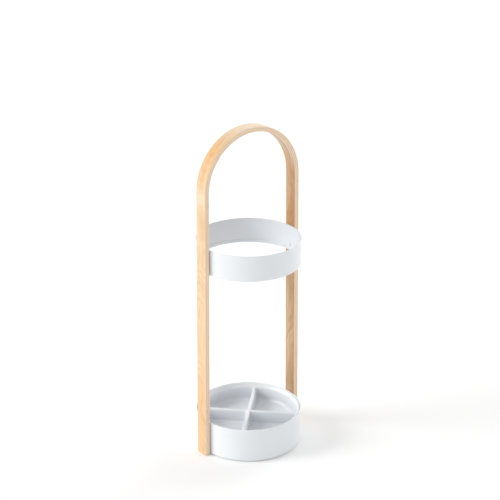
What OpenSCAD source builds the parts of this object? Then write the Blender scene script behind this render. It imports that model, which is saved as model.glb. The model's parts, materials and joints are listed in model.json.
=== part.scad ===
// Umbrella stand: a bent-laminated wooden arch carries a sheet-steel guard ring and a
// weighted round base. A drip tray with four compartments lifts out of the base.
// Origin: centre of the base on the floor. +Z is up, the legs of the arch stand at +X and -X.
// The base is wider than the ring, so the legs splay outwards a little on their way down.

/* [Arch] */
// Height of the arch above the floor
arch_h = 642; // [560:1:720]
// Depth of the wooden strip, front to back
strip_w = 27; // [22:0.5:32]
// Thickness of one veneer
ply_t = 1.85; // [1.6:0.05:2]
// Rounding of the strip's long edges
arris_r = 0.5; // [0.3:0.1:1.2]
// Rounding of the two lower corners of each leg
leg_corner_r = 4; // [2:0.5:6]

/* [Ring] */
// Outer diameter of the ring
ring_d = 200; // [194:1:204]
// Height of the ring's upper rim above the floor
ring_top = 425; // [380:1:460]
// Height of the ring
ring_h = 50; // [44:1:60]
// Thickness of the ring's sheet steel
ring_t = 1.9; // [1.6:0.1:2.2]
// Height of the shallow band inside the ring's lower edge
band_h = 6; // [5:0.5:8]

/* [Base] */
// Outer diameter of the base
base_d = 206; // [204:1:214]
// Height of the base's rim above the floor
base_top = 68; // [66:0.5:74]
// Gap between the floor and the underside of the base
foot_h = 2; // [1.5:0.1:3]
// Wall thickness of the base shell
shell_t = 2.5; // [2.2:0.1:2.8]
// Thickness of the ballast disc
ballast_t = 9; // [8:0.5:10]

/* [Drip tray] */
// Height of the tray's floor above the floor of the room
tray_floor = 34; // [32:0.5:35]
// Wall thickness of the tray
tray_t = 2.4; // [2:0.1:2.6]
// Height of the divider ridges above the floor of the room
ridge_top = 58.5; // [56:0.5:60]
// Rounding of the divider ridges
ridge_r = 3.8; // [3:0.1:4.2]
// Draft of the divider walls in degrees
draft = 4; // [2:0.5:5]
// Clearance between the tray's lip and the base shell
tray_gap = 0.4; // [0.3:0.05:0.6]

/* [Fasteners] */
// Thickness of the nylon spacers between the legs and the two round parts
spacer_t = 1.2; // [1.2:0.1:2]
// Height of the ring screws above the ring's lower edge
ring_screw_up = 12; // [11:0.5:14]
// Height of the lower base screws above the floor
lower_screw_z = 24; // [21:0.5:26]
// Height of the upper base screws above the floor
upper_screw_z = 44; // [41:0.5:46]

/* [Hidden] */
$fn = 96;
eps = 0.01;

// Ring
ring_r = ring_d / 2;
ring_bottom = ring_top - ring_h;
ring_edge_r = ring_t / 2;
ring_corner_r = 0.8;
band_t = 0.8;
ring_inner_r = ring_r - ring_t;
ring_screw_z = ring_bottom + ring_screw_up;

// Arch: each leg has a frame of its own, with its origin on the leg's inner face, level with
// the ring screw. +X points out through the leg and +Z up along it.
ply_count = 5;
strip_t = ply_count * ply_t;
base_r = base_d / 2;
splay = atan((base_r - ring_r) / (ring_screw_z - (lower_screw_z + upper_screw_z) / 2));
leg_x = ring_r + spacer_t;
arch_r = (strip_t + leg_x * cos(splay) - (arch_h - ring_screw_z) * sin(splay)) / (1 - sin(splay));
arch_z = arch_h - arch_r;
leg_top = (arch_z - ring_screw_z) * cos(splay) + leg_x * sin(splay);
leg_bottom = -ring_screw_z / cos(splay);

// Heights in the leg's frame
stud_up = ring_h - ring_screw_up - 16;
base_screw_up = [lower_screw_z - ring_screw_z, upper_screw_z - ring_screw_z];
stud_r = 2.5;
stud_depth = 2 * ply_t;

// Base
shell_inner_r = base_r - shell_t;
shell_corner_r = 3;
floor_top = foot_h + shell_t;
ballast_r = shell_inner_r - 8.5;
ballast_top = floor_top + ballast_t;
boss_pitch_r = base_r - 33;
boss_r = 4;
foot_r = 8;
peg_r = 3;
foot_pitch_r = base_r - 23;

// Tray
lip_r = shell_inner_r - tray_gap;
lip_t = 2.1;
lip_top = base_top - 0.8;
lip_bottom = base_top - 7;
tray_r = lip_r - 3.1;
tray_inner_r = tray_r - tray_t;
bowl_r = 10;
bowl_x = tray_inner_r - bowl_r;
bowl_z = tray_floor + bowl_r;
flare_z = lip_top - 7.5;
tray_foot_r = tray_r - 12.6;
tray_foot_t = 2.4;
fillet_r = 3;

// Fasteners
screw_r = 2;
screw_hole_r = 2.25;
screw_head_r = 4;
screw_head_h = 2.2;
insert_r = 3.75;
insert_depth = (ply_count - 1) * ply_t;
insert_len = insert_depth - 0.2;
spacer_r = 6;
washer_r = 7;
washer_t = 1;
fit_gap = 0.05;

oak = "burlywood";
white = "white";
steel = "silver";

// ---------- shared pieces ----------

// Places the children in the frame of the leg at +X
module at_leg() {
  translate([leg_x, 0, ring_screw_z]) rotate([0, -splay, 0]) children();
}

// Places the children in the frames of the leg at +X and the leg at -X
module each_leg() {
  for (turn = [0, 180]) rotate([0, 0, turn]) at_leg() children();
}

// Cylinder along +X from x, at height z
module rod_x(x, z, r, len) {
  translate([x, 0, z]) rotate([0, 90, 0]) cylinder(r = r, h = len);
}

// Hollow cylinder along +X from x, at height z
module sleeve_x(x, z, r, bore_r, len) {
  difference() {
    rod_x(x, z, r, len);
    rod_x(x - 1, z, bore_r, len + 2);
  }
}

// Pan-head screw: the shank runs along +X from the head's bearing face, which is at the origin
module pan_screw(reach) {
  crown_h = 0.6;
  crown_r = screw_head_r - 1.2;
  slot_l = 4.2;
  slot_w = 0.9;
  slot_depth = 1.2;
  difference() {
    union() {
      rod_x(crown_h - screw_head_h, 0, screw_head_r, screw_head_h - crown_h);
      translate([crown_h - screw_head_h, 0, 0]) rotate([0, -90, 0])
        cylinder(r1 = screw_head_r, r2 = crown_r, h = crown_h);
      rod_x(-eps, 0, screw_r, reach + eps);
    }
    for (turn = [0, 90]) translate([-screw_head_h, 0, 0]) rotate([turn, 0, 0])
      cube([2 * slot_depth, slot_w, slot_l], center = true);
  }
}

// Screw through a round wall of inner radius wall_r into the insert in the leg, in its frame
module leg_screw(wall_r, z) {
  wall_x = sqrt(wall_r * wall_r - screw_head_r * screw_head_r) - leg_x;
  seat_x = wall_x * cos(splay) + (z - screw_head_r) * sin(splay);
  translate([seat_x, 0, z]) pan_screw(insert_len - 1 - seat_x);
}

// Spacer between a leg and a round wall of outer radius wall_r, hollowed to fit the wall
module leg_spacer(wall_r, z) {
  difference() {
    each_leg() sleeve_x(-spacer_t - 1, z, spacer_r, screw_hole_r, spacer_t + 1);
    cylinder(r = wall_r, h = arch_h, $fn = 720);
  }
}

// ---------- arch ----------

// Cross-section of one veneer: x is measured inwards from the arch's outer face
module ply_section(index) {
  x0 = -(index + 1) * ply_t;
  is_skin = index == 0 || index == ply_count - 1;
  if (!is_skin) {
    translate([x0, -strip_w / 2]) square([ply_t, strip_w]);
  } else {
    outwards = index == 0 ? 1 : -1;
    face_x = index == 0 ? 0 : x0;
    inner_x = index == 0 ? x0 : x0 + arris_r;
    translate([inner_x, -strip_w / 2]) square([ply_t - arris_r, strip_w]);
    translate([x0, -strip_w / 2 + arris_r]) square([ply_t, strip_w - 2 * arris_r]);
    for (side = [-1, 1])
      translate([face_x - outwards * arris_r, side * (strip_w / 2 - arris_r)])
        circle(r = arris_r);
  }
}

// One veneer of a leg, in the leg's frame. Its two lower corners are rounded.
module ply_leg(index) {
  intersection() {
    translate([strip_t, 0, leg_bottom - 1]) linear_extrude(leg_top - leg_bottom + 1)
      ply_section(index);
    translate([-1, 0, leg_bottom]) rotate([90, 0, 90]) linear_extrude(strip_t + 2) {
      translate([-strip_w / 2 - 1, leg_corner_r]) square([strip_w + 2, arch_h]);
      translate([-strip_w / 2 + leg_corner_r, 0]) square([strip_w - 2 * leg_corner_r, arch_h]);
      for (side = [-1, 1])
        translate([side * (strip_w / 2 - leg_corner_r), leg_corner_r]) circle(r = leg_corner_r);
    }
  }
}

// One veneer in two equal halves, which meet in the middle of the crown. Each half is a straight
// leg and an arc that meets it without a kink.
module ply_sweep(index) {
  for (turn = [0, 180]) rotate([0, 0, turn]) intersection() {
    at_leg() {
      ply_leg(index);
      translate([strip_t - arch_r, 0, leg_top]) rotate([90, 0, 0])
        rotate_extrude(angle = 100) translate([arch_r, 0]) ply_section(index);
    }
    translate([0, -strip_w, -strip_t]) cube([arch_h, 2 * strip_w, 2 * arch_h]);
  }
}

module ply(index) {
  color(oak) difference() {
    ply_sweep(index);
    if (index > 0) each_leg() {
      for (z = concat(base_screw_up, [0])) rod_x(-1, z, insert_r + fit_gap, 1 + insert_depth);
    }
    if (index > 2) each_leg() rod_x(-1, stud_up, stud_r + fit_gap, 1 + stud_depth);
  }
}

module arch_outer_veneer() { ply(0); }
module arch_outer_core() { ply(1); }
module arch_centre_core() { ply(2); }
module arch_inner_core() { ply(3); }
module arch_inner_veneer() { ply(4); }

// ---------- ring ----------

module ring_section() {
  corner_r = ring_corner_r;
  translate([ring_r - ring_t, ring_bottom + corner_r]) square([ring_t, ring_h - corner_r - ring_edge_r]);
  translate([ring_r - ring_edge_r, ring_top - ring_edge_r]) circle(r = ring_edge_r);
  translate([ring_r - ring_t - band_t, ring_bottom + corner_r])
    square([band_t + eps, band_h - corner_r - band_t]);
  translate([ring_r - ring_t, ring_bottom + band_h - band_t]) circle(r = band_t);
  translate([ring_r - ring_t - band_t + corner_r, ring_bottom])
    square([ring_t + band_t - 2 * corner_r, corner_r + eps]);
  translate([ring_r - ring_t - band_t + corner_r, ring_bottom + corner_r]) circle(r = corner_r);
  translate([ring_r - corner_r, ring_bottom + corner_r]) circle(r = corner_r);
}

module upper_ring() {
  sunk = spacer_t + ring_t / 2;
  color(white) difference() {
    union() {
      rotate_extrude() ring_section();
      each_leg() rod_x(-sunk, stud_up, stud_r, sunk + stud_depth - 0.2);
    }
    each_leg() rod_x(-spacer_t - 2 * ring_t, 0, screw_hole_r, 2 * ring_t + spacer_t);
  }
}

module ring_screws() {
  color(white) each_leg() leg_screw(ring_inner_r, 0);
}

module ring_inserts() {
  color("goldenrod") each_leg() sleeve_x(0, 0, insert_r, screw_r + fit_gap, insert_len);
}

module ring_spacers() {
  color(white) leg_spacer(ring_r, 0);
}

// ---------- base ----------

// Places the children at each boss that holds the ballast
module each_boss() {
  for (turn = [90, 210, 330]) rotate([0, 0, turn]) translate([boss_pitch_r, 0, 0]) children();
}

// Places the children at one of the four feet, counted anticlockwise from the front left
module at_foot(index) {
  rotate([0, 0, 225 + 90 * index]) translate([foot_pitch_r, 0, 0]) children();
}

module shell_section() {
  rim_r = shell_t / 2;
  translate([0, foot_h]) square([base_r - shell_corner_r, shell_t]);
  translate([base_r - shell_t, foot_h + shell_corner_r])
    square([shell_t, base_top - foot_h - shell_corner_r - rim_r]);
  translate([base_r - rim_r, base_top - rim_r]) circle(r = rim_r);
  difference() {
    translate([base_r - shell_corner_r, foot_h + shell_corner_r]) circle(r = shell_corner_r);
    translate([base_r - 2 * shell_corner_r, floor_top])
      square([2 * shell_corner_r - shell_t, 2 * shell_corner_r]);
  }
}

module base_shell() {
  boss_h = ballast_t - 0.2;
  color(white) difference() {
    union() {
      rotate_extrude() shell_section();
      each_boss() translate([0, 0, floor_top - shell_t / 2])
        cylinder(r = boss_r, h = boss_h + shell_t / 2);
    }
    each_boss() translate([0, 0, floor_top]) cylinder(r = screw_r + fit_gap, h = ballast_t);
    each_leg() for (z = base_screw_up)
      rod_x(-spacer_t - 3 * shell_t, z, screw_hole_r, 3 * shell_t + spacer_t);
    for (k = [0:3]) at_foot(k) translate([0, 0, foot_h - 1])
      cylinder(r = peg_r + fit_gap, h = shell_t + 2);
  }
}

module base_screws() {
  color(steel) each_leg() for (z = base_screw_up) leg_screw(shell_inner_r, z);
}

module base_inserts() {
  color("goldenrod") each_leg() for (z = base_screw_up)
    sleeve_x(0, z, insert_r, screw_r + fit_gap, insert_len);
}

module base_spacers() {
  color(white) for (z = base_screw_up) leg_spacer(base_r, z);
}

module ballast_disc() {
  bevel = 1;
  color("dimgray") difference() {
    rotate_extrude() translate([0, floor_top]) polygon([
      [0, 0], [ballast_r - bevel, 0], [ballast_r, bevel],
      [ballast_r, ballast_t - bevel], [ballast_r - bevel, ballast_t], [0, ballast_t]
    ]);
    each_boss() translate([0, 0, floor_top - 1]) cylinder(r = boss_r + 0.3, h = ballast_t + 2);
  }
}

module ballast_washers() {
  color(steel) each_boss() translate([0, 0, ballast_top]) difference() {
    cylinder(r = washer_r, h = washer_t);
    translate([0, 0, -1]) cylinder(r = screw_hole_r, h = washer_t + 2);
  }
}

module ballast_screws() {
  color(steel) each_boss() translate([0, 0, ballast_top + washer_t]) rotate([0, 90, 0])
    pan_screw(ballast_t);
}

// Rubber foot with a peg that presses into the shell's floor
module foot(index) {
  edge_r = 0.8;
  peg_len = shell_t - 0.2;
  color("dimgray") at_foot(index) {
    rotate_extrude() {
      translate([0, edge_r]) square([foot_r, foot_h - edge_r]);
      square([foot_r - edge_r, foot_h]);
      translate([foot_r - edge_r, edge_r]) circle(r = edge_r);
    }
    translate([0, 0, foot_h - eps]) cylinder(r = peg_r, h = peg_len + eps);
  }
}

module foot_front_left() { foot(0); }
module foot_front_right() { foot(1); }
module foot_rear_right() { foot(2); }
module foot_rear_left() { foot(3); }

// ---------- drip tray ----------

// Half section of the tray as a solid block, without its hollow
module tray_block_section() {
  under = tray_floor - tray_t;
  translate([0, under]) square([bowl_x, lip_top - under - lip_t]);
  translate([0, bowl_z]) square([tray_r, lip_bottom - bowl_z]);
  translate([bowl_x, bowl_z]) circle(r = bowl_r + tray_t);
  translate([0, lip_bottom]) square([lip_r, lip_top - lip_bottom - lip_t / 2]);
  translate([lip_r - lip_t / 2, lip_top - lip_t / 2]) circle(r = lip_t / 2);
}

// Half section of the tray's hollow: flat floor, round corner, wall and a flared lip
module tray_hollow_section() {
  mouth_r = lip_r - lip_t;
  translate([0, tray_floor]) square([bowl_x, base_top]);
  translate([bowl_x, bowl_z]) circle(r = bowl_r);
  polygon([
    [0, bowl_z], [tray_inner_r, bowl_z], [tray_inner_r, flare_z],
    [mouth_r, lip_top - lip_t / 2], [mouth_r, base_top + 1], [0, base_top + 1]
  ]);
}

// Cross-section of a divider: round ridge, drafted sides and a fillet at each foot
module divider_section() {
  ridge_z = ridge_top - ridge_r;
  fillet_z = tray_floor + fillet_r;
  fillet_x = (fillet_r + ridge_r + (ridge_z - fillet_z) * sin(draft)) / cos(draft);
  normal = [cos(draft), sin(draft)];
  foot_point = [fillet_x, fillet_z] - fillet_r * normal;
  ridge_point = [0, ridge_z] + ridge_r * normal;
  sunk = tray_floor - tray_t / 2;
  translate([0, ridge_z]) circle(r = ridge_r);
  for (side = [0, 1]) mirror([side, 0]) difference() {
    polygon([
      [-eps, sunk], [fillet_x, sunk], [fillet_x, tray_floor], foot_point, ridge_point, [-eps, ridge_z]
    ]);
    translate([fillet_x, fillet_z]) circle(r = fillet_r);
  }
}

module drip_tray() {
  divider_reach = tray_inner_r + tray_t / 2;
  color(white) {
    rotate_extrude() difference() {
      tray_block_section();
      tray_hollow_section();
    }
    intersection() {
      for (turn = [45, 135]) rotate([90, 0, turn])
        linear_extrude(2 * divider_reach, center = true) divider_section();
      rotate_extrude() {
        translate([0, tray_floor - tray_t]) square([bowl_x, base_top]);
        translate([0, bowl_z]) square([divider_reach, base_top]);
        translate([bowl_x, bowl_z]) circle(r = bowl_r + tray_t / 2);
      }
    }
    rotate_extrude() translate([tray_foot_r - tray_foot_t, ballast_top])
      square([tray_foot_t, tray_floor - tray_t / 2 - ballast_top]);
  }
}

arch_outer_veneer();
arch_outer_core();
arch_centre_core();
arch_inner_core();
arch_inner_veneer();
upper_ring();
ring_screws();
ring_inserts();
ring_spacers();
base_shell();
base_screws();
base_inserts();
base_spacers();
ballast_disc();
ballast_washers();
ballast_screws();
foot_front_left();
foot_front_right();
foot_rear_left();
foot_rear_right();
drip_tray();
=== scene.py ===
"""Umbrella stand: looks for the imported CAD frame.

Lengths are in metres, in the CAD's frame: origin at the centre of the base on the floor,
+Z up, the legs of the arch at +X and -X.
"""
import json
import math

import bpy
import numpy as np
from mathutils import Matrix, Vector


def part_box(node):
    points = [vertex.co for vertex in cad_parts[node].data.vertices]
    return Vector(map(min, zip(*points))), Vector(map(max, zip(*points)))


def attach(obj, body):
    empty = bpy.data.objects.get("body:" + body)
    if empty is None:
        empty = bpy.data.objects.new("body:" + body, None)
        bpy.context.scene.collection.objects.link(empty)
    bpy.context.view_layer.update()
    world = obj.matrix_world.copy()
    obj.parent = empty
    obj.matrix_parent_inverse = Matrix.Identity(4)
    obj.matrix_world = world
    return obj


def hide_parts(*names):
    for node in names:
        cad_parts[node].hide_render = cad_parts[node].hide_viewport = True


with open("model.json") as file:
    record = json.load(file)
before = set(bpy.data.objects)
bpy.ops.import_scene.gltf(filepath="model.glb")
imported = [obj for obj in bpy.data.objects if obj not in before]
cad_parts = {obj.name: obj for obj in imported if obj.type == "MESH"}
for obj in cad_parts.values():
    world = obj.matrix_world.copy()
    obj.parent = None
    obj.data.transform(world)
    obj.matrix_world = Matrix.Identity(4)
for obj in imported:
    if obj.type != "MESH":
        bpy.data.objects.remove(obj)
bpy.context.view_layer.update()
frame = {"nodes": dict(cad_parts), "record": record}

MM = 0.001

# The strip's make-up, as in the CAD
PLY_COUNT = 5
PLY_T = 1.85 * MM
STRIP_T = PLY_COUNT * PLY_T
SPACER_T = 1.2 * MM
ARRIS_R = 0.5 * MM
LEG_CORNER_R = 4.0 * MM


# ---------------------------------------------------------------- camera

CAMERA_TARGET = (0.0037, 0.0, 0.3968)
CAMERA_AZIMUTH = math.radians(-37.53)
CAMERA_ELEVATION = math.radians(22.08)
CAMERA_DISTANCE = 2.8825
CAMERA_LENS = 110.14


def direction_of(azimuth, elevation):
    """Unit vector from the middle towards an azimuth and elevation; azimuth 0 points along -Y."""
    level = math.cos(elevation)
    return (math.sin(azimuth) * level, -math.cos(azimuth) * level, math.sin(elevation))


def make_camera():
    """The camera stands at CAMERA_DISTANCE from its target and aims straight at it."""
    data = bpy.data.cameras.new("camera")
    data.sensor_width = 36.0
    data.lens = CAMERA_LENS
    data.clip_end = 60.0
    camera = bpy.data.objects.new("camera", data)
    bpy.context.scene.collection.objects.link(camera)
    back = np.array(direction_of(CAMERA_AZIMUTH, CAMERA_ELEVATION))
    camera.location = np.array(CAMERA_TARGET) + back * CAMERA_DISTANCE
    camera.rotation_euler = (math.pi / 2 - CAMERA_ELEVATION, 0.0, CAMERA_AZIMUTH)
    bpy.context.scene.camera = camera


make_camera()


# ---------------------------------------------------------------- node trees

class Tree:
    """Short names for building a material's node tree."""

    def __init__(self, name):
        self.material = bpy.data.materials.new(name)
        self.material.use_nodes = True
        self.nodes = self.material.node_tree.nodes
        self.links = self.material.node_tree.links
        self.shader = self.nodes["Principled BSDF"]

    def node(self, kind, inputs=None, **settings):
        """Adds a node. inputs maps socket names or numbers to values or to other sockets."""
        made = self.nodes.new("ShaderNode" + kind)
        for key, value in settings.items():
            setattr(made, key, value)
        for key, value in (inputs or {}).items():
            self.set(made, key, value)
        return made

    def set(self, node, key, value):
        if isinstance(value, bpy.types.NodeSocket):
            self.links.new(value, node.inputs[key])
        else:
            node.inputs[key].default_value = value

    def math(self, operation, a, b=0.0):
        return self.node("Math", {0: a, 1: b}, operation=operation).outputs[0]

    def product(self, first, *others):
        """Multiplies two or more values."""
        for other in others:
            first = self.math("MULTIPLY", first, other)
        return first

    def dot(self, a, b):
        return self.node("VectorMath", {0: a, 1: b}, operation="DOT_PRODUCT").outputs["Value"]

    def noise(self, vector, scale, detail=2.0, roughness=0.5):
        inputs = {"Vector": vector, "Scale": scale, "Detail": detail, "Roughness": roughness}
        return self.node("TexNoise", inputs).outputs["Fac"]

    def stretch(self, vector, scale, shift=(0.0, 0.0, 0.0)):
        """A copy of the coordinate vector, scaled along each of its axes."""
        return self.node("Mapping", {"Vector": vector, "Scale": scale, "Location": shift}).outputs[0]

    def remap(self, value, low, high, out_low=0.0, out_high=1.0, smooth=False):
        inputs = {
            "Value": value, "From Min": low, "From Max": high, "To Min": out_low, "To Max": out_high,
        }
        kind = "SMOOTHSTEP" if smooth else "LINEAR"
        return self.node("MapRange", inputs, interpolation_type=kind).outputs[0]

    def mix(self, factor, a, b, blend="MIX"):
        """Mixes two colours, each of them a socket or its red, green and blue."""
        a, b = [c if isinstance(c, bpy.types.NodeSocket) else (*c, 1.0) for c in (a, b)]
        # A Mix node has its colour sockets after those for numbers and vectors
        inputs = {0: factor, 6: a, 7: b}
        return self.node("Mix", inputs, data_type="RGBA", blend_type=blend).outputs[2]

    def ramp(self, value, stops):
        """A colour for each value. stops is a list of positions and colours."""
        made = self.node("ValToRGB", {"Fac": value})
        elements = made.color_ramp.elements
        while len(elements) < len(stops):
            elements.new(0.5)
        for element, (position, colour) in zip(elements, stops):
            element.position = position
            element.color = (*colour, 1.0)
        return made.outputs["Color"]

    def bump(self, height, strength, distance):
        inputs = {"Height": height, "Strength": strength, "Distance": distance}
        return self.node("Bump", inputs).outputs[0]

    def finish(self, **inputs):
        """Sets the shader's inputs, named with _ for each space, and returns the material."""
        for key, value in inputs.items():
            self.set(self.shader, key.replace("_", " "), value)
        return self.material


# ---------------------------------------------------------------- wood

GRAIN = "grain"
STRIP_HALF = 13.5 * MM

# Light, middle and dark tone of the two faces that show. The inner face's tones are partly its browner
# veneer and partly painted shade.
OUTER_FACE = ((0.850, 0.630, 0.400), (0.800, 0.545, 0.310), (0.660, 0.390, 0.185))
INNER_FACE = ((0.665, 0.465, 0.275), (0.550, 0.330, 0.165), (0.370, 0.185, 0.078))
# Tones of the sanded edges of the strip
EDGE_LIGHT = (0.975, 0.786, 0.582)
EDGE_DARK = (0.880, 0.619, 0.415)
EDGE_PORE = (0.560, 0.370, 0.230)
FLECK = (0.30, 0.16, 0.08)
# A painted highlight along the arrises
ARRIS_HIGHLIGHT = (0.900, 0.770, 0.640)
# Tints that are multiplied with a face, and paler tones, painted highlights, that are mixed into it
WARM_OUTER = (0.99, 0.80, 0.54)
# The inner face's tints are partly veneer tone and partly painted shade
WARM_INNER = (0.97, 0.86, 0.72)
FRONT_INNER = (0.80, 0.71, 0.60)
OUTER_HIGHLIGHT = (0.95, 0.82, 0.66)
INNER_HIGHLIGHT = (0.95, 0.84, 0.72)

# Stretches of another tone: way along the strip, half length and depth of tone
WARM_PATCHES = [(0.612, 0.075, 0.85), (0.06, 0.22, 0.42)]
# The pale stretches of the outer face are painted highlights
HIGHLIGHT_PATCHES = [(0.70, 0.09, 0.35), (0.524, 0.028, 0.40)]
# The warm stretch on the right leg near the ring is partly veneer tone and partly painted shade
WARM_INSIDE = (0.98, 0.10, 0.85)
# A painted highlight on the inner face in the bend
INSIDE_HIGHLIGHT = (0.80, 0.075, 0.85)
# Place and half width of the stripe of painted highlight inside the bend, measured across the strip
HIGHLIGHT_STRIPE_AT = -9.0 * MM
HIGHLIGHT_STRIPE_HALF = 3.2 * MM

# Mineral flecks in the strip's edges: way along the strip, side, depth below the outer
# face, half length and depth of tone
FLECKS = [
    (0.096, -1, 3.6 * MM, 5.0 * MM, 1.0),
    (0.892, -1, 2.5 * MM, 5.0 * MM, 0.8),
    (0.510, -1, 7.0 * MM, 9.0 * MM, 0.5),
    (0.335, 1, 5.5 * MM, 4.0 * MM, 1.0),
    (0.905, 1, 3.0 * MM, 4.5 * MM, 0.8),
]
FLECK_HALF_DEPTH = 0.9 * MM
FLECK_REACH = 1.2 * MM
GLUE_LINE = 0.12 * MM

# Noise scales, per metre along the strip, across it and into its depth
EDGE_PORE_SCALE = (420.0, 300.0, 1900.0)
WANDER_SCALE = (16.0, 90.0, 30.0)
LINE_STRENGTH_SCALE = (9.0, 45.0, 10.0)
FIBRE_SCALE = (24.0, 1300.0, 400.0)
STREAK_SCALE = (22.0, 420.0, 90.0)
FACE_PORE_SCALE = (150.0, 2400.0, 900.0)
RING_TONE_SCALE = (3.0, 130.0, 1.0)
LONG_TONE_SCALE = (3.0, 75.0, 10.0)

# Growth rings round a pith that drifts sideways and in depth under the veneer
RINGS_PER_METRE = 260.0
PITH_DRIFT = 30.0 * MM
PITH_NEAR, PITH_FAR = 3.0 * MM, 60.0 * MM
# On the outer face the rings sweep across the foot of the left leg, over this length
LOW_SWEEP = 0.10
LOW_SWEEP_ACROSS = 55.0 * MM
# Between these ways along the outer face, the tone stops following the rings
RING_TONE_END = (0.36, 0.52)


def grain_axes(tree):
    """The attribute's vector and its parts: along the strip, across it and into its depth."""
    vector = tree.node("Attribute", attribute_name=GRAIN).outputs["Vector"]
    return vector, tree.node("SeparateXYZ", {0: vector}).outputs


def bump_at(tree, value, centre, half):
    """1 at centre, falling smoothly to 0 at half either side."""
    away = tree.math("ABSOLUTE", tree.math("SUBTRACT", value, centre))
    return tree.remap(away, 0.0, half, 1.0, 0.0, smooth=True)


def patch_mask(tree, axes, patch):
    """The depth of tone of one stretch, fading out along the strip."""
    way, half, amount = patch
    return tree.product(bump_at(tree, axes[0], way, half), amount)


def fleck_mask(tree, axes):
    """The depth of tone of the mineral flecks in the strip's edges."""
    mask = 0.0
    for way, side, depth, half, amount in FLECKS:
        along = tree.product(bump_at(tree, axes[0], way, half), amount)
        within = bump_at(tree, axes[2], depth, FLECK_HALF_DEPTH)
        edge = bump_at(tree, axes[1], side * STRIP_HALF, FLECK_REACH)
        mask = tree.math("MAXIMUM", mask, tree.product(along, within, edge))
    return mask


def edge_colour(tree, vector, axes, tone, index):
    """The colour of a ply's sanded side, with pores and flecks, and the pores alone."""
    shift = (index * 2.3, index * 5.1, 0.0)
    pores = tree.noise(tree.stretch(vector, EDGE_PORE_SCALE, shift), 1.0, 2.0, 0.6)
    colour = tree.mix(tree.remap(pores, 0.52, 0.74, 0.0, 0.30), tone, EDGE_PORE)
    return tree.mix(fleck_mask(tree, axes), colour, FLECK), pores


def glue_shade(tree, axes, top, bottom):
    """1 beside the ply's glue lines, which show only on the strip's edges."""
    near_top = tree.math("ABSOLUTE", tree.math("SUBTRACT", axes[2], top))
    near_bottom = tree.math("ABSOLUTE", tree.math("SUBTRACT", axes[2], bottom))
    near = tree.math("MINIMUM", near_top, near_bottom)
    return tree.remap(near, GLUE_LINE, 2.5 * GLUE_LINE, 1.0, 0.0, smooth=True)


def growth_rings(tree, vector, axes, shift, outer):
    """The distance from the pith, and the strength of the dark growth lines."""
    along = tree.stretch(tree.node("CombineXYZ", {0: axes[0]}).outputs[0], (1.0, 1.0, 1.0), shift)
    drift = tree.noise(along, 1.7, 1.0)
    across = tree.math("ADD", axes[1], tree.remap(drift, 0.25, 0.75, -PITH_DRIFT, PITH_DRIFT))
    if outer:
        sweep = tree.remap(axes[0], 0.0, LOW_SWEEP, LOW_SWEEP_ACROSS, 0.0, smooth=True)
        across = tree.math("ADD", across, sweep)
    depth = tree.remap(tree.noise(along, 3.6, 1.5), 0.30, 0.70, PITH_NEAR, PITH_FAR)
    squares = tree.math("ADD", tree.product(across, across), tree.product(depth, depth))
    radius = tree.math("SQRT", squares)
    wander = tree.noise(tree.stretch(vector, WANDER_SCALE, shift), 1.0, 2.0, 0.5)
    rings = tree.math("ADD", tree.product(radius, RINGS_PER_METRE), tree.product(wander, 1.6))
    phase = tree.math("FRACT", rings)
    rise = tree.remap(phase, 0.35, 0.88, smooth=True)
    fall = tree.remap(phase, 0.88, 1.0, 1.0, 0.0, smooth=True)
    strength = tree.noise(tree.stretch(vector, LINE_STRENGTH_SCALE, shift), 1.0, 2.0)
    return radius, tree.product(rise, fall, tree.remap(strength, 0.35, 0.62, 0.25, 1.0))


def face_tone(tree, vector, axes, shift, radius, outer):
    """Slow changes of tone along the growth rings, or lengthwise high on the outer face."""
    along_rings = tree.node("CombineXYZ", {0: axes[0], 1: radius}).outputs[0]
    tone = tree.noise(tree.stretch(along_rings, RING_TONE_SCALE, shift), 1.0, 2.0)
    if outer:
        lengthwise = tree.noise(tree.stretch(vector, LONG_TONE_SCALE, shift), 1.0, 2.0)
        low = tree.remap(axes[0], *RING_TONE_END, 1.0, 0.0, smooth=True)
        high = tree.math("SUBTRACT", 1.0, low)
        tone = tree.math("ADD", tree.product(tone, low), tree.product(lengthwise, high))
    return tone


def face_figure(tree, vector, axes, tones, index):
    """A flat-sawn veneer's colour and relief: growth lines, fibres, streaks and short pores."""
    outer = index == 0
    shift = (index * 3.17, index * 1.31, 0.0)
    radius, line = growth_rings(tree, vector, axes, shift, outer)
    tone = face_tone(tree, vector, axes, shift, radius, outer)
    fibre = tree.noise(tree.stretch(vector, FIBRE_SCALE, shift), 1.0, 3.0, 0.6)
    streak = tree.noise(tree.stretch(vector, STREAK_SCALE, shift), 1.0, 2.0, 0.55)
    streak = tree.remap(streak, 0.48, 0.72, smooth=True)
    pore = tree.noise(tree.stretch(vector, FACE_PORE_SCALE, shift), 1.0, 1.0)
    pore = tree.remap(pore, 0.62, 0.72, smooth=True)

    light, middle, dark = tones
    line_depth = 0.50
    if outer:
        line_depth = tree.remap(axes[0], 0.0, LOW_SWEEP, 0.85, 0.50, smooth=True)
    colour = tree.mix(tree.remap(tone, 0.34, 0.68, smooth=True), light, middle)
    colour = tree.mix(tree.product(streak, 0.35 if outer else 0.60), colour, dark)
    colour = tree.mix(tree.product(line, line_depth), colour, dark)
    colour = tree.mix(tree.remap(fibre, 0.40, 0.75, 0.0, 0.35), colour, middle)
    colour = tree.mix(tree.product(pore, 0.35), colour, dark)
    relief = tree.math("SUBTRACT", tree.product(fibre, 0.5), tree.product(pore, 0.6))
    return colour, tree.math("SUBTRACT", relief, tree.product(line, 0.25))


def patched_outer(tree, axes, face):
    """The outer face with its warmer stretches and its paler stretches of painted highlight."""
    for patch in WARM_PATCHES:
        face = tree.mix(patch_mask(tree, axes, patch), face, WARM_OUTER, "MULTIPLY")
    # Paler stretches of painted highlight
    for patch in HIGHLIGHT_PATCHES:
        face = tree.mix(patch_mask(tree, axes, patch), face, OUTER_HIGHLIGHT)
    return face


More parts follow.
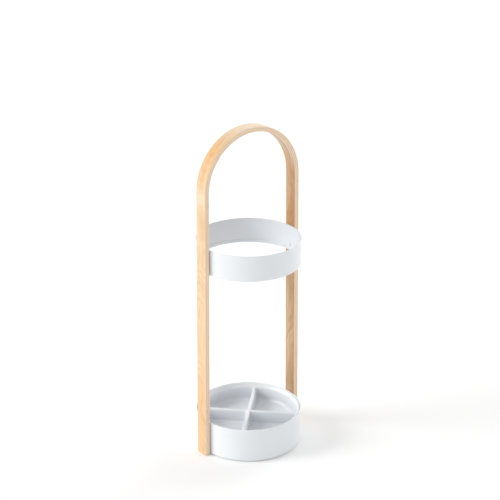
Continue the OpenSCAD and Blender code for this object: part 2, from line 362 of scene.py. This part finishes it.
def patched_inner(tree, axes, face):
    """The inner face: darker to the front and warm on the right leg, partly veneer tone and partly
    painted shade, with a stripe of painted highlight in the bend.
    """
    side = tree.remap(axes[1], -STRIP_HALF, STRIP_HALF)
    front = tree.remap(side, 0.25, 0.85, 0.85, 0.0, smooth=True)
    # Darker to the front and warm near the ring: partly veneer tone, partly painted shade
    face = tree.mix(front, face, FRONT_INNER, "MULTIPLY")
    face = tree.mix(patch_mask(tree, axes, WARM_INSIDE), face, WARM_INNER, "MULTIPLY")
    across = bump_at(tree, axes[1], HIGHLIGHT_STRIPE_AT, HIGHLIGHT_STRIPE_HALF)
    # Painted highlight stripe in the bend
    return tree.mix(tree.product(patch_mask(tree, axes, INSIDE_HIGHLIGHT), across), face, INNER_HIGHLIGHT)


def add_face(tree, vector, axes, colour, relief, tones, index):
    """Adds a ply's face to the colour and relief of its edges, with a painted highlight on the arris
    between them.
    """
    face, face_relief = face_figure(tree, vector, axes, tones, index)
    outer = index == 0
    face = patched_outer(tree, axes, face) if outer else patched_inner(tree, axes, face)
    away = tree.math("ABSOLUTE", axes[1])
    on_edge = tree.remap(away, STRIP_HALF - ARRIS_R, STRIP_HALF - 0.3 * ARRIS_R, smooth=True)
    colour = tree.mix(on_edge, face, colour)
    face_depth = 0.0 if outer else (index + 1) * PLY_T
    depth = tree.math("ABSOLUTE", tree.math("SUBTRACT", axes[2], face_depth))
    # Painted highlight along the arris
    arris = tree.product(
        bump_at(tree, away, STRIP_HALF - 0.45 * ARRIS_R, 0.8 * ARRIS_R),
        tree.remap(depth, 0.5 * ARRIS_R, 1.3 * ARRIS_R, 0.25, 0.0),
    )
    return tree.mix(arris, colour, ARRIS_HIGHLIGHT), tree.math("ADD", relief, face_relief)


def strip_material(name, index, face_tones, edge_tone):
    """One ply of the arch. The outermost and the innermost also show a face."""
    tree = Tree(name)
    vector, axes = grain_axes(tree)
    colour, relief = edge_colour(tree, vector, axes, edge_tone, index)
    lines = tree.product(glue_shade(tree, axes, index * PLY_T, (index + 1) * PLY_T), 0.40)
    colour = tree.mix(lines, colour, EDGE_PORE)
    if face_tones:
        colour, relief = add_face(tree, vector, axes, colour, relief, face_tones, index)
    rough = tree.remap(relief, -0.2, 0.8, 0.36, 0.50)
    return tree.finish(
        Base_Color=colour, Roughness=rough, Normal=tree.bump(relief, 0.30, 0.10 * MM),
        Coat_Weight=0.50, Coat_Roughness=0.30,
    )


# ---------------------------------------------------------------- paint, metal, rubber

WHITE_PAINT = (0.858, 0.885, 0.908)
WHITE_MOULDING = (0.868, 0.898, 0.922)
# A greyer white than the shell's: painted shade over the whole tray
WHITE_TRAY = (0.812, 0.846, 0.878)
# Darker white for the faces that look inwards: painted shade
WHITE_INSIDE_SHADE = (0.700, 0.733, 0.770)
# Painted highlight on the tray's upper edges
WHITE_HIGHLIGHT = (0.885, 0.913, 0.936)
# Painted shade low on the tray's upright inner faces, and the most of it that is mixed in
WHITE_PAINTED_SHADE = (0.600, 0.635, 0.680)
PAINTED_SHADE_WEIGHT = 0.70
TRAY_RIDGE_Z = 58.5 * MM
TRAY_FLOOR_Z = 34.0 * MM


def white_material(name, base, roughness, peel_scale, peel_height, coat=0.15,
                   inside=None, shade_heights=None, highlight_above=None):
    """Satin white skin with a faint orange peel and slow changes of gloss and tone.

    inside is a darker colour, painted shade, for the faces that look towards the middle axis.
    deep is a pair of heights for painted shade: the upright faces inside get greyer from the
    upper one down to the lower one. highlight_above is the height above which the edges get a
    painted highlight.
    """
    tree = Tree(name)
    coordinates = tree.node("TexCoord").outputs
    point, normal = coordinates["Object"], coordinates["Normal"]
    height = tree.node("SeparateXYZ", {0: point}).outputs[2]
    # Below zero on the faces that look inwards, above zero on those that look outwards
    facing = tree.dot(tree.stretch(point, (1.0, 1.0, 0.0)), normal)
    soft = tuple(0.975 * v for v in base)
    colour = tree.ramp(tree.noise(point, 14.0, 3.0), [(0.35, base), (0.70, soft)])
    if inside is not None:
        # Painted shade on the faces that look towards the middle axis
        colour = tree.mix(tree.remap(facing, -60.0 * MM, 0.0, 1.0, 0.0), colour, inside)
    if shade_heights is not None:
        # Painted shade: the upright faces inside grow greyer towards the floor
        upright = tree.remap(tree.node("SeparateXYZ", {0: normal}).outputs[2], 0.35, 0.85, 1.0, 0.0)
        within = tree.remap(facing, 50.0 * MM, 80.0 * MM, PAINTED_SHADE_WEIGHT, 0.0)
        depth = tree.remap(height, shade_heights[0], shade_heights[1], 1.0, 0.0)
        colour = tree.mix(tree.product(upright, within, depth), colour, WHITE_PAINTED_SHADE)
    if highlight_above is not None:
        # Painted highlight on the edges above that height
        edge = tree.remap(height, highlight_above - 3.0 * MM, highlight_above + 3.0 * MM, smooth=True)
        colour = tree.mix(edge, colour, WHITE_HIGHLIGHT)
    rough = tree.remap(tree.noise(point, 55.0, 3.0), 0.3, 0.7, roughness - 0.04, roughness + 0.05)
    peel = tree.noise(point, peel_scale, 2.0, 0.55)
    return tree.finish(
        Base_Color=colour, Roughness=rough, Normal=tree.bump(peel, 0.25, peel_height),
        Coat_Weight=coat, Coat_Roughness=0.20,
    )


def metal_material(name, base, roughness, scratch):
    """Plated or turned metal with fine scratches."""
    tree = Tree(name)
    point = tree.node("TexCoord").outputs["Object"]
    scratches = tree.noise(tree.stretch(point, (260.0, 2600.0, 2600.0)), 1.0, 3.0, 0.65)
    stain = tree.noise(point, 160.0, 3.0)
    dull = tuple(0.82 * v for v in base)
    colour = tree.ramp(stain, [(0.35, base), (0.72, dull)])
    rough = tree.remap(scratches, 0.3, 0.75, roughness - 0.06, roughness + 0.12)
    return tree.finish(
        Base_Color=colour, Metallic=1.0, Roughness=rough,
        Normal=tree.bump(scratches, scratch, 0.04 * MM),
    )


def cast_iron_material(name):
    """Black paint over a grainy casting."""
    tree = Tree(name)
    point = tree.node("TexCoord").outputs["Object"]
    sand = tree.noise(point, 700.0, 4.0, 0.65)
    lumps = tree.noise(point, 90.0, 2.0)
    colour = tree.ramp(sand, [(0.35, (0.018, 0.018, 0.020)), (0.75, (0.045, 0.045, 0.048))])
    relief = tree.math("ADD", sand, tree.product(lumps, 1.5))
    rough = tree.remap(sand, 0.3, 0.7, 0.45, 0.65)
    return tree.finish(Base_Color=colour, Roughness=rough, Normal=tree.bump(relief, 0.6, 0.35 * MM))


def matt_material(name, base, roughness, scale):
    """Rubber or nylon: even colour with a fine moulded texture."""
    tree = Tree(name)
    point = tree.node("TexCoord").outputs["Object"]
    fine = tree.noise(point, scale, 3.0, 0.6)
    dull = tuple(0.80 * v for v in base)
    colour = tree.ramp(fine, [(0.35, base), (0.75, dull)])
    rough = tree.remap(fine, 0.3, 0.7, roughness - 0.05, roughness + 0.07)
    return tree.finish(Base_Color=colour, Roughness=rough, Normal=tree.bump(fine, 0.4, 0.08 * MM))


MATERIALS = {
    # The steel's faces that look inwards get painted shade
    "white_steel": white_material("white_powder_coat", WHITE_PAINT, 0.42, 900.0, 0.03 * MM,
                                  inside=WHITE_INSIDE_SHADE),
    "white_screw": white_material("white_screw_paint", WHITE_PAINT, 0.40, 1400.0, 0.03 * MM),
    "white_shell": white_material("white_shell_moulding", WHITE_MOULDING, 0.40, 420.0, 0.03 * MM),
    # The tray gets painted shade low on its inner walls and a painted highlight on its upper edges
    "white_tray": white_material("white_tray_moulding", WHITE_TRAY, 0.33, 380.0, 0.004 * MM, coat=0.25,
                                 shade_heights=(TRAY_FLOOR_Z, TRAY_RIDGE_Z - 5.0 * MM),
                                 highlight_above=TRAY_RIDGE_Z - 1.0 * MM),
    "plated_steel": metal_material("zinc_plate", (0.62, 0.63, 0.65), 0.30, 0.25),
    "brass_insert": metal_material("turned_brass", (0.72, 0.52, 0.22), 0.32, 0.30),
    "nylon_washer": matt_material("natural_nylon", (0.80, 0.80, 0.76), 0.50, 900.0),
    "ballast_iron": cast_iron_material("painted_cast_iron"),
    "foot_rubber": matt_material("black_rubber", (0.035, 0.035, 0.036), 0.75, 1200.0),
}


def dress_cad_nodes():
    """Gives every CAD node the material of its slot."""
    for part in frame["record"]["subparts"]:
        material = MATERIALS.get(part["material_slot"])
        if material is None:
            continue
        mesh = frame["nodes"][part["node"]].data
        if not mesh.materials:
            mesh.materials.append(material)
        for index in range(len(mesh.materials)):
            mesh.materials[index] = material


dress_cad_nodes()


# ---------------------------------------------------------------- meshes

def mesh_object(name, points, faces, material, sharp_degrees=None):
    """Makes a smooth-shaded object. Edges that bend by more than sharp_degrees stay sharp."""
    mesh = bpy.data.meshes.new(name)
    mesh.from_pydata([tuple(p) for p in points], [], [tuple(f) for f in faces])
    mesh.validate()
    mesh.polygons.foreach_set("use_smooth", [True] * len(mesh.polygons))
    if sharp_degrees is not None:
        mesh.set_sharp_from_angle(angle=math.radians(sharp_degrees))
    mesh.materials.append(material)
    made = bpy.data.objects.new(name, mesh)
    bpy.context.scene.collection.objects.link(made)
    return made


# ---------------------------------------------------------------- arch

ARRIS_STEPS = 5
CORNER_STATIONS = 9
BEND_STEPS = 120
LEG_STEP = 24.0 * MM
# Support points this far in from the strip's sides keep its faces flat
SUPPORT_INSET = 1.4 * MM


def nearest_tenth(length):
    """A length to 0.1 mm. The boxes of round parts are a hair too small."""
    return round(length / MM, 1) * MM


def middle_z(node):
    """The height of a node's middle."""
    low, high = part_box(node)
    return (low.z + high.z) / 2


def arch_curve():
    """Stations along the strip from foot to foot.

    Each is the way along the strip, the point on its outer face, the direction inwards and
    how far the strip's sides are pulled in by the rounded corners at the feet.
    """
    ring_r = nearest_tenth(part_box("upper_ring")[1].y)
    base_r = nearest_tenth(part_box("base_shell")[1].y)
    arch_h = nearest_tenth(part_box("arch_outer_veneer")[1].z)
    ring_z, base_z = middle_z("ring_inserts"), middle_z("base_inserts")
    splay = math.atan((base_r - ring_r) / (ring_z - base_z))
    c, s = math.cos(splay), math.sin(splay)
    leg_x = ring_r + SPACER_T
    radius = (STRIP_T + leg_x * c - (arch_h - ring_z) * s) / (1 - s)
    centre_z = arch_h - radius
    leg_len = (centre_z - ring_z) * c + leg_x * s + ring_z / c
    foot_x = radius * c + leg_len * s
    foot_z = centre_z + radius * s - leg_len * c

    corner = [LEG_CORNER_R * (1 - math.cos(a)) for a in np.linspace(0, math.pi / 2, CORNER_STATIONS)]
    # The last station of a leg keeps clear of the first one of the bend
    ways = [*corner, *np.arange(LEG_CORNER_R + LEG_STEP, leg_len - 0.4 * LEG_STEP, LEG_STEP)]
    stations = []
    for way in ways:
        drop = max(0.0, LEG_CORNER_R - way)
        narrow = LEG_CORNER_R - math.sqrt(max(0.0, LEG_CORNER_R ** 2 - drop ** 2))
        stations.append((way, (-foot_x + way * s, foot_z + way * c), (c, -s), narrow))
    for angle in np.linspace(math.pi - splay, splay, BEND_STEPS + 1):
        x, z = math.cos(angle), math.sin(angle)
        way = leg_len + radius * (math.pi - splay - angle)
        stations.append((way, (radius * x, centre_z + radius * z), (-x, -z), 0.0))
    total = 2 * leg_len + radius * (math.pi - 2 * splay)
    for way, (x, z), (in_x, in_z), narrow in reversed(stations[:len(ways)]):
        stations.append((total - way, (-x, z), (-in_x, in_z), narrow))
    return stations


def ply_section(top, bottom, round_top, round_bottom):
    """Closed outline of a ply as (depth, across) points."""
    support = STRIP_HALF - SUPPORT_INSET

    def arris(depth, inwards):
        """A rounded edge on the positive side, from the face at depth to the strip's side."""
        angles = [math.pi / 2 * step / ARRIS_STEPS for step in range(ARRIS_STEPS + 1)]
        return [(depth + inwards * ARRIS_R * (1 - math.cos(a)), STRIP_HALF - ARRIS_R * (1 - math.sin(a)))
                for a in angles]

    top_edge = arris(top, 1) if round_top else [(top, STRIP_HALF)]
    bottom_edge = arris(bottom, -1)[::-1] if round_bottom else [(bottom, STRIP_HALF)]
    side = [(top, support), *top_edge, *bottom_edge, (bottom, support)]
    return side + [(depth, -across) for depth, across in reversed(side)]


def sweep_ply(name, index, material, stations):
    """One veneer, swept from the left leg's foot over the arch to the right leg's foot."""
    outline = ply_section(index * PLY_T, (index + 1) * PLY_T, index == 0, index == PLY_COUNT - 1)
    points, grain = [], []
    for way, (x, z), (in_x, in_z), narrow in stations:
        for depth, across in outline:
            y = math.copysign(max(0.0, abs(across) - narrow), across)
            points.append((x + in_x * depth, y, z + in_z * depth))
            grain.append((way, across, depth))
    count = len(outline)
    rows = len(stations)
    faces = []
    for row in range(rows - 1):
        for k in range(count):
            a, b = row * count + k, row * count + (k + 1) % count
            faces.append((a, b, b + count, a + count))
    faces.append(tuple(range(count))[::-1])
    faces.append(tuple((rows - 1) * count + k for k in range(count)))
    made = mesh_object(name, points, faces, material, sharp_degrees=32)
    layer = made.data.attributes.new(GRAIN, "FLOAT_VECTOR", "POINT")
    layer.data.foreach_set("vector", np.array(grain, np.float32).ravel())
    return made


# Node, tones of its face and tone of its edges, from the outside of the arch inwards
PLIES = [
    ("arch_outer_veneer", OUTER_FACE, EDGE_LIGHT),
    ("arch_outer_core", None, EDGE_DARK),
    ("arch_centre_core", None, EDGE_LIGHT),
    ("arch_inner_core", None, EDGE_DARK),
    ("arch_inner_veneer", INNER_FACE, EDGE_LIGHT),
]


def build_arch():
    stations = arch_curve()
    for index, (node, face_tones, edge_tone) in enumerate(PLIES):
        material = strip_material(node + "_wood", index, face_tones, edge_tone)
        ply = sweep_ply(node + "_strip", index, material, stations)
        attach(ply, "stand")
        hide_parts(node)


build_arch()


# ---------------------------------------------------------------- drip tray

tray_low, tray_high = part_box("drip_tray")
LIP_R = max(tray_high.x, tray_high.y)
LIP_TOP = tray_high.z
LIP_T = 2.1 * MM
LIP_H = 6.2 * MM
FLARE_H = 7.5 * MM
TRAY_T = 2.4 * MM
BODY_R = LIP_R - 3.1 * MM
WALL_R = BODY_R - TRAY_T
BOWL_R = 10.0 * MM
BOWL_X = WALL_R - BOWL_R
BOWL_TOP = TRAY_FLOOR_Z + BOWL_R
FLARE_START = LIP_TOP - FLARE_H
FLARE_RISE = FLARE_H - LIP_T / 2
MOUTH_R = LIP_R - LIP_T
RIDGE_R = 3.8 * MM
DRAFT = math.tan(math.radians(4.0))
BLEND = 3.5 * MM
CROSS_BLEND = 5.0 * MM
UNDERSIDE_Z = TRAY_FLOOR_Z - TRAY_T
TRAY_BOTTOM = tray_low.z
FOOT_RING_R = 84.4 * MM
FOOT_RING_T = 2.4 * MM
# The dividers run at 45 degrees to the axes
TURN = math.radians(45.0)


def soft_min(a, b, width):
    """Smooth minimum: rounds a concave corner with a fillet of about that width."""
    h = np.maximum(width - np.abs(a - b), 0.0) / width
    return np.minimum(a, b) - h * h * width / 4


def smooth_step(t):
    return t * t * (3 - 2 * t)


def tray_clearance(p):
    """Distance from points in the tray's hollow to its wall, floor and dividers."""
    x, y, z = p[:, 0], p[:, 1], p[:, 2]
    flare = smooth_step(np.clip((z - FLARE_START) / FLARE_RISE, 0.0, 1.0))
    wall_r = WALL_R + flare * (MOUTH_R - WALL_R)
    qx = np.hypot(x, y) - (wall_r - BOWL_R)
    qz = BOWL_TOP - z
    corner = np.hypot(np.maximum(qx, 0.0), np.maximum(qz, 0.0))
    bowl = BOWL_R - corner - np.minimum(np.maximum(qx, qz), 0.0)
    across = np.maximum(soft_min(np.abs(x), np.abs(y), CROSS_BLEND), 0.0)
    ridge_z = TRAY_RIDGE_Z - RIDGE_R
    cap = np.hypot(across, z - ridge_z) - RIDGE_R
    side = across - RIDGE_R - (ridge_z - z) * DRAFT
    divider = np.where(z > ridge_z, cap, side)
    return soft_min(bowl, divider, BLEND)


SETTLE_ROUNDS = 12
SETTLE_PROBE = 0.02 * MM
SETTLE_MAX_MOVE = 1.5 * MM
LEAST_SLOPE = 0.2


def settle(p):
    """Moves points along the slope of tray_clearance until they lie on the surface."""
    for _ in range(SETTLE_ROUNDS):
        value = tray_clearance(p)
        slope = np.stack([
            (tray_clearance(p + SETTLE_PROBE * axis) - tray_clearance(p - SETTLE_PROBE * axis))
            / (2 * SETTLE_PROBE)
            for axis in np.eye(3)
        ], axis=1)
        size = np.maximum((slope * slope).sum(1), LEAST_SLOPE)
        move = np.clip(value / size, -SETTLE_MAX_MOVE, SETTLE_MAX_MOVE)
        p = p - slope * move[:, None]
    return p


def soft_corner(point, before, after, radius):
    """A rounded corner of a profile. before points back along it, after points on along it."""
    result = []
    start = np.array(point) + radius * np.array(before)
    end = np.array(point) + radius * np.array(after)
    middle = start + end - np.array(point)
    for step in range(SOFT_CORNER_STEPS + 1):
        a = math.pi / 2 * step / SOFT_CORNER_STEPS
        p = middle + (start - middle) * math.cos(a) + (end - middle) * math.sin(a)
        result.append(tuple(p))
    return result


# Mesh lines beside a divider, from its ridge down to the floor: distance from the divider's
# middle plane and height, in millimetres. settle() moves their points onto the surface.
NEAR_LINES = [
    (0.0, 58.5), (1.2, 58.3), (2.3, 57.7), (3.2, 56.75), (3.75, 55.2), (3.9, 53.2), (4.1, 50.4),
    (4.4, 46.0), (4.7, 42.0), (4.95, 38.4), (5.3, 36.4), (6.0, 35.1), (7.0, 34.35), (8.4, 34.0),
]
NEAR_D = [d * MM for d, _ in NEAR_LINES]
# Further lines fan out evenly from the last of them to the middle of the compartment
FAR_LINES = 8
FAN = [k / FAR_LINES for k in range(1, FAR_LINES + 1)]
LINE_Z = [z * MM for _, z in NEAR_LINES] + [TRAY_FLOOR_Z] * FAR_LINES
LAST_LINE = len(LINE_Z) - 1
CORE_HALF = 34.0 * MM
CORE_RING_R = 56.0 * MM
CORE_RINGS = 5
FLOOR_RINGS = 5
BOWL_RINGS = 11
WALL_RINGS = 5
FLARE_RINGS = 7
RIM_STEPS = 8
UNDER_BOWL_STEPS = 9
SOFT_CORNER_STEPS = 3


def line_angle(line, mirrored, r):
    """Angle from a divider to a mesh line at radius r. Mirrored lines go with the next divider."""
    if line < len(NEAR_D):
        angle = math.asin(NEAR_D[line] / r)
    else:
        last = math.asin(NEAR_D[-1] / r)
        angle = last + (math.pi / 4 - last) * FAN[line - len(NEAR_D)]
    return math.pi / 2 - angle if mirrored else angle


class TrayMesh:
    """The tray as one closed mesh: a square core, and rings of points from it outwards.

    Each ring has the same columns of points. They follow mesh lines that run beside the
    dividers at fixed distances, so that ridges and fillets follow the mesh.
    """

    def __init__(self):
        quadrant = [(line, False) for line in range(LAST_LINE + 1)]
        quadrant += [(line, True) for line in range(LAST_LINE - 1, 0, -1)]
        self.columns = [(turns, line, mirrored) for turns in range(4) for line, mirrored in quadrant]
        self.points, self.faces, self.free = [], [], []
        self.previous = None

    def add(self, x, y, z, free):
        """Adds a point and returns its number. Free ones are moved onto the hollow's surface."""
        self.points.append((x, y, z))
        self.free.append(free)
        return len(self.points) - 1

    def join(self, ring):
        """Joins a ring to the one before it."""
        count = len(ring)
        for k in range(count):
            after = (k + 1) % count
            self.faces.append((self.previous[k], ring[k], ring[after], self.previous[after]))
        self.previous = ring

    def add_core(self):
        """A square grid in the middle, whose lines follow both dividers."""
        last = NEAR_D[-1]
        half = NEAR_D + [last + (CORE_HALF - last) * t for t in FAN]
        places = [-d for d in half[:0:-1]] + half
        heights = LINE_Z[:0:-1] + LINE_Z
        grid = [[self.add(x, y, max(heights[i], heights[k]), True) for k, y in enumerate(places)]
                for i, x in enumerate(places)]
        for i in range(len(places) - 1):
            for k in range(len(places) - 1):
                self.faces.append((grid[i][k], grid[i + 1][k], grid[i + 1][k + 1], grid[i][k + 1]))
        self.previous = [self.border(grid, *column) for column in self.columns]

    def border(self, grid, turns, line, mirrored):
        """The core's border point that a column starts from."""
        i, k = 2 * LAST_LINE, LAST_LINE + line
        if mirrored:
            i, k = k, i
        for _ in range(turns):
            i, k = 2 * LAST_LINE - k, i
        return grid[i][k]

    def column_angle(self, column, r):
        turns, line, mirrored = column
        return turns * math.pi / 2 + line_angle(line, mirrored, r)

    def add_round_floor(self):
        """The floor from the core's border out to a circle."""
        start = [self.points[number] for number in self.previous]
        for step in range(1, CORE_RINGS + 1):
            t = step / CORE_RINGS
            ring = []
            for column, (x0, y0, _) in zip(self.columns, start):
                a = self.column_angle(column, CORE_RING_R)
                x1, y1 = CORE_RING_R * math.cos(a), CORE_RING_R * math.sin(a)
                ring.append(self.add(x0 + (x1 - x0) * t, y0 + (y1 - y0) * t, LINE_Z[column[1]], True))
            self.join(ring)

    def add_ring(self, r, heights, free=True):
        """A round ring. heights has the height of each mesh line."""
        ring = []
        for column in self.columns:
            a = self.column_angle(column, r)
            ring.append(self.add(r * math.cos(a), r * math.sin(a), heights[column[1]], free))
        self.join(ring)

    def add_level_ring(self, r, z, free):
        self.add_ring(r, [z] * len(LINE_Z), free)

    def close(self, z):
        """Closes the last ring with a fan round a point on the axis."""
        centre = self.add(0.0, 0.0, z, False)
        count = len(self.previous)
        for k in range(count):
            self.faces.append((self.previous[k], centre, self.previous[(k + 1) % count]))

    def turned_points(self):
        """All points, settled and turned with the dividers into their place."""
        points = np.array(self.points)
        free = np.array(self.free)
        points[free] = settle(points[free])
        c, s = math.cos(TURN), math.sin(TURN)
        return points @ np.array([[c, s, 0], [-s, c, 0], [0, 0, 1]])


def add_hollow(mesh):
    """Floor, round corner, wall and the flare of the lip, with the dividers between them."""
    mesh.add_core()
    mesh.add_round_floor()
    for r in np.linspace(CORE_RING_R, BOWL_X, FLOOR_RINGS + 1)[1:]:
        mesh.add_ring(r, LINE_Z)
    for a in np.linspace(0, math.pi / 2, BOWL_RINGS + 1)[1:]:
        z = TRAY_FLOOR_Z + BOWL_R * (1 - math.cos(a))
        mesh.add_ring(BOWL_X + BOWL_R * math.sin(a), [max(z, line_z) for line_z in LINE_Z])
    for t in np.linspace(0, 1, WALL_RINGS + 1)[1:]:
        mesh.add_ring(WALL_R, [max(BOWL_TOP, z) * (1 - t) + FLARE_START * t for z in LINE_Z])
    for t in np.linspace(0, 1, FLARE_RINGS + 1)[1:-1]:
        r = WALL_R + smooth_step(t) * (MOUTH_R - WALL_R)
        mesh.add_level_ring(r, FLARE_START + t * FLARE_RISE, True)


def outer_profile():
    """Round rim, lip, outer wall, underside and foot ring, as (radius, height) points."""
    rim_r = LIP_T / 2
    profile = [(LIP_R - rim_r + rim_r * math.cos(a), LIP_TOP - rim_r + rim_r * math.sin(a))
               for a in np.linspace(math.pi, 0, RIM_STEPS + 1)]
    lip_bottom = LIP_TOP - LIP_H
    profile += soft_corner((LIP_R, lip_bottom), (0, 1), (-1, 0), 0.5 * MM)
    profile += soft_corner((BODY_R, lip_bottom), (1, 0), (0, -1), 0.6 * MM)
    outer_r = BOWL_R + TRAY_T
    for a in np.linspace(0, math.pi / 2, UNDER_BOWL_STEPS + 1)[:-1]:
        r = BOWL_X + outer_r * math.cos(a)
        if r < FOOT_RING_R + 0.4 * MM:
            break
        profile.append((r, BOWL_TOP - outer_r * math.sin(a)))
    profile.append((FOOT_RING_R, BOWL_TOP - math.sqrt(outer_r ** 2 - (FOOT_RING_R - BOWL_X) ** 2)))
    profile += soft_corner((FOOT_RING_R, TRAY_BOTTOM), (0, 1), (-1, 0), 0.4 * MM)
    foot_inner = FOOT_RING_R - FOOT_RING_T
    profile += soft_corner((foot_inner, TRAY_BOTTOM), (1, 0), (0, 1), 0.4 * MM)
    profile.append((foot_inner, UNDERSIDE_Z + 0.3 * MM))
    profile.append((foot_inner - 0.6 * MM, UNDERSIDE_Z))
    profile += [(r, UNDERSIDE_Z) for r in (60.0 * MM, 30.0 * MM, 12.0 * MM)]
    return profile


def build_tray():
    mesh = TrayMesh()
    add_hollow(mesh)
    for r, z in outer_profile():
        mesh.add_level_ring(r, z, False)
    mesh.close(UNDERSIDE_Z)
    faces = [face[::-1] for face in mesh.faces]
    tray = mesh_object("drip_tray_moulding", mesh.turned_points(), faces, MATERIALS["white_tray"], 50)
    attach(tray, "tray")
    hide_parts("drip_tray")


build_tray()


# ---------------------------------------------------------------- floor and light

FLOOR_GLOW = 0.09
FLOOR_R = 14.0
FLOOR_SIDES = 96


def make_floor():
    tree = Tree("floor")
    point = tree.node("TexCoord").outputs["Object"]
    cloud = tree.noise(point, 1.3, 2.0)
    colour = tree.ramp(cloud, [(0.3, (0.955, 0.955, 0.955)), (0.7, (0.945, 0.945, 0.945))])
    material = tree.finish(
        Base_Color=colour, Roughness=0.9, Specular_IOR_Level=0.1,
        Emission_Color=(1.0, 1.0, 1.0, 1.0), Emission_Strength=FLOOR_GLOW,
    )
    angles = [2 * math.pi * k / FLOOR_SIDES for k in range(FLOOR_SIDES)]
    rim = [(FLOOR_R * math.cos(a), FLOOR_R * math.sin(a), 0.0) for a in angles]
    floor = mesh_object("floor", rim, [tuple(range(FLOOR_SIDES))], material)


# Name, irradiance over pi, and the azimuth, elevation and width of each sun in degrees.
# Each sun shines from direction_of(azimuth, elevation).
SUNS = [
    ("key", 0.535, -118.0, 29.0, 30.0),
    ("rim", 0.385, 98.0, 13.0, 40.0),
    ("top", 0.095, -38.0, 78.0, 60.0),
]


def make_suns():
    """Wide far lights."""
    for name, irradiance, azimuth, elevation, width in SUNS:
        data = bpy.data.lights.new(name, "SUN")
        data.energy = irradiance * math.pi
        data.angle = math.radians(width)
        lamp = bpy.data.objects.new(name, data)
        bpy.context.scene.collection.objects.link(lamp)
        lamp.rotation_euler = (math.pi / 2 - math.radians(elevation), 0.0, math.radians(azimuth))


HORIZON, ZENITH, BACKDROP = 0.71, 0.39, 0.60
# The sine of the elevation from which the sky has the strength of its zenith
SKY_TOP = 0.9
BACKDROP_AZIMUTH, BACKDROP_ELEVATION = math.radians(142.0), math.radians(14.0)
BACKDROP_CORE, BACKDROP_REACH = math.radians(20.0), math.radians(60.0)


def make_world():
    """A white studio: brighter near the horizon, and brightest behind the stand."""
    world = bpy.data.worlds.new("studio")
    bpy.context.scene.world = world
    world.use_nodes = True
    nodes, links = world.node_tree.nodes, world.node_tree.links

    def remap(value, low, high, out_low, out_high):
        made = nodes.new("ShaderNodeMapRange")
        made.interpolation_type = "SMOOTHSTEP"
        for key, number in zip(("From Min", "From Max", "To Min", "To Max"),
                               (low, high, out_low, out_high)):
            made.inputs[key].default_value = number
        links.new(value, made.inputs["Value"])
        return made.outputs[0]

    direction = nodes.new("ShaderNodeTexCoord").outputs["Generated"]
    split = nodes.new("ShaderNodeSeparateXYZ")
    links.new(direction, split.inputs[0])
    towards = nodes.new("ShaderNodeVectorMath")
    towards.operation = "DOT_PRODUCT"
    towards.inputs[1].default_value = direction_of(BACKDROP_AZIMUTH, BACKDROP_ELEVATION)
    links.new(direction, towards.inputs[0])
    sky = remap(split.outputs[2], 0.0, SKY_TOP, HORIZON, ZENITH)
    backdrop = remap(towards.outputs["Value"], math.cos(BACKDROP_REACH), math.cos(BACKDROP_CORE),
                     0.0, BACKDROP)
    total = nodes.new("ShaderNodeMath")
    links.new(sky, total.inputs[0])
    links.new(backdrop, total.inputs[1])
    background = nodes["Background"]
    background.inputs["Color"].default_value = (1.0, 1.0, 1.0, 1.0)
    links.new(total.outputs[0], background.inputs["Strength"])


make_floor()
make_world()
make_suns()
bpy.context.scene.view_settings.view_transform = "Standard"
